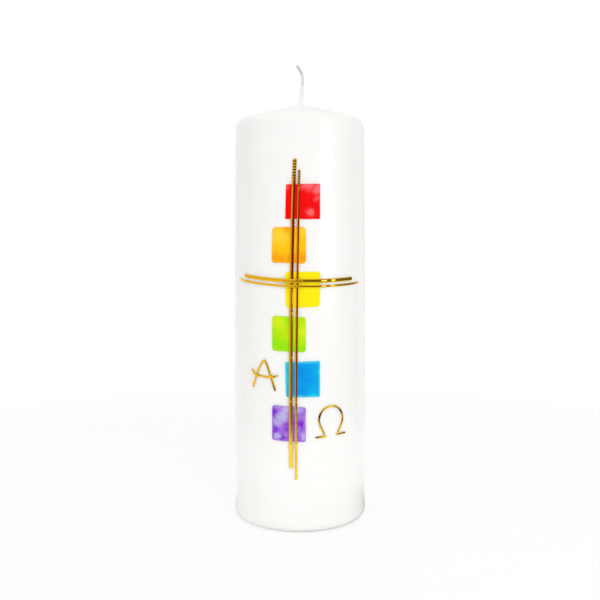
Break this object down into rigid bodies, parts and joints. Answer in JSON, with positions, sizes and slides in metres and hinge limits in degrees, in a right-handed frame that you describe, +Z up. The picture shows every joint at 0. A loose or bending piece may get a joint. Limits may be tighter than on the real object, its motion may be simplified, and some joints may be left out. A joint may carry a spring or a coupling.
{
  "type": "easter candle",
  "caption": "White pillar candle with a shallow cone top and a bent cotton wick, set with coloured wax squares, a gold strip cross, and alpha and omega in gold strip.",
  "frame": {"origin": "centre of the flat base, on the candle's axis", "axes": "+Z up the candle to the wick; -Y out of the front, where the cross is; +X to the right seen from the front"},
  "size_m": [0.08, 0.0822, 0.2737],
  "materials": {
    "white_wax": "satin",
    "core_wax": "matte",
    "cotton_wick": "matte",
    "red_wax": "satin",
    "orange_wax": "satin",
    "yellow_wax": "satin",
    "green_wax": "satin",
    "blue_wax": "satin",
    "violet_wax": "satin",
    "gold_strip": "polished"
  },
  "bodies": {
    "root": {"wax_core": "core_wax", "overdip_coat": "white_wax", "wick": "cotton_wick", "tile_red": "red_wax", "tile_orange": "orange_wax", "tile_yellow": "yellow_wax", "tile_green": "green_wax", "tile_blue": "blue_wax", "tile_violet": "violet_wax", "upright_wide": "gold_strip", "upright_narrow": "gold_strip", "crossarm_wide": "gold_strip", "crossarm_narrow": "gold_strip", "alpha_arch": "gold_strip", "alpha_crossbar": "gold_strip", "omega_loop": "gold_strip", "omega_left_foot": "gold_strip", "omega_right_foot": "gold_strip"}
  },
  "joints": []
}
